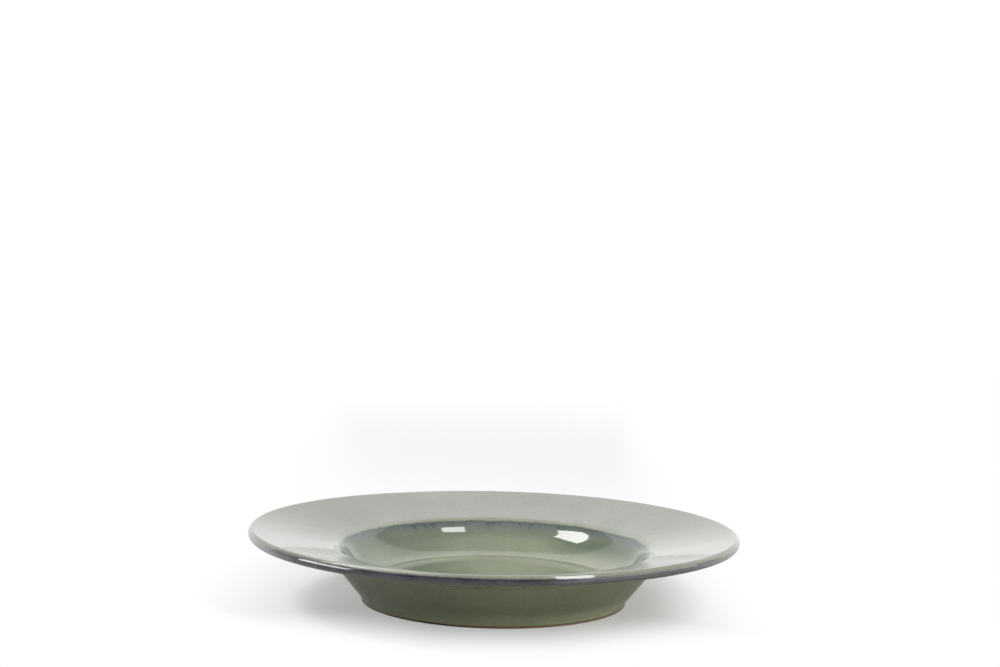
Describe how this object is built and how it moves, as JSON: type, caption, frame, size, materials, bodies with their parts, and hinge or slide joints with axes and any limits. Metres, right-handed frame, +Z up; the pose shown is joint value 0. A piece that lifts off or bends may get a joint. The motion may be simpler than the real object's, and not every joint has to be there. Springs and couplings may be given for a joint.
{
  "type": "pasta bowl",
  "caption": "Wide-rimmed pasta bowl in green-glazed stoneware, with a shallow coved well, a flared wall, a rounded dark lip and a low unglazed foot ring.",
  "frame": {"origin": "centre of the foot ring, on the table", "axes": "+Z up along the bowl's axis; +X and +Y are any two level directions"},
  "size_m": [0.28, 0.28, 0.0418],
  "materials": {
    "bare_clay": "unglazed red stoneware, fine and matt",
    "inside_glaze": "glossy grey-green celadon",
    "lip_glaze": "glossy slate blue, breaking to brown",
    "outside_glaze": "glossy olive green",
    "base_glaze": "glossy olive green"
  },
  "bodies": {
    "root": {"clay_body": "bare_clay", "inside_glaze": "inside_glaze", "lip_glaze": "lip_glaze", "outside_glaze": "outside_glaze", "base_glaze": "base_glaze"}
  },
  "joints": []
}
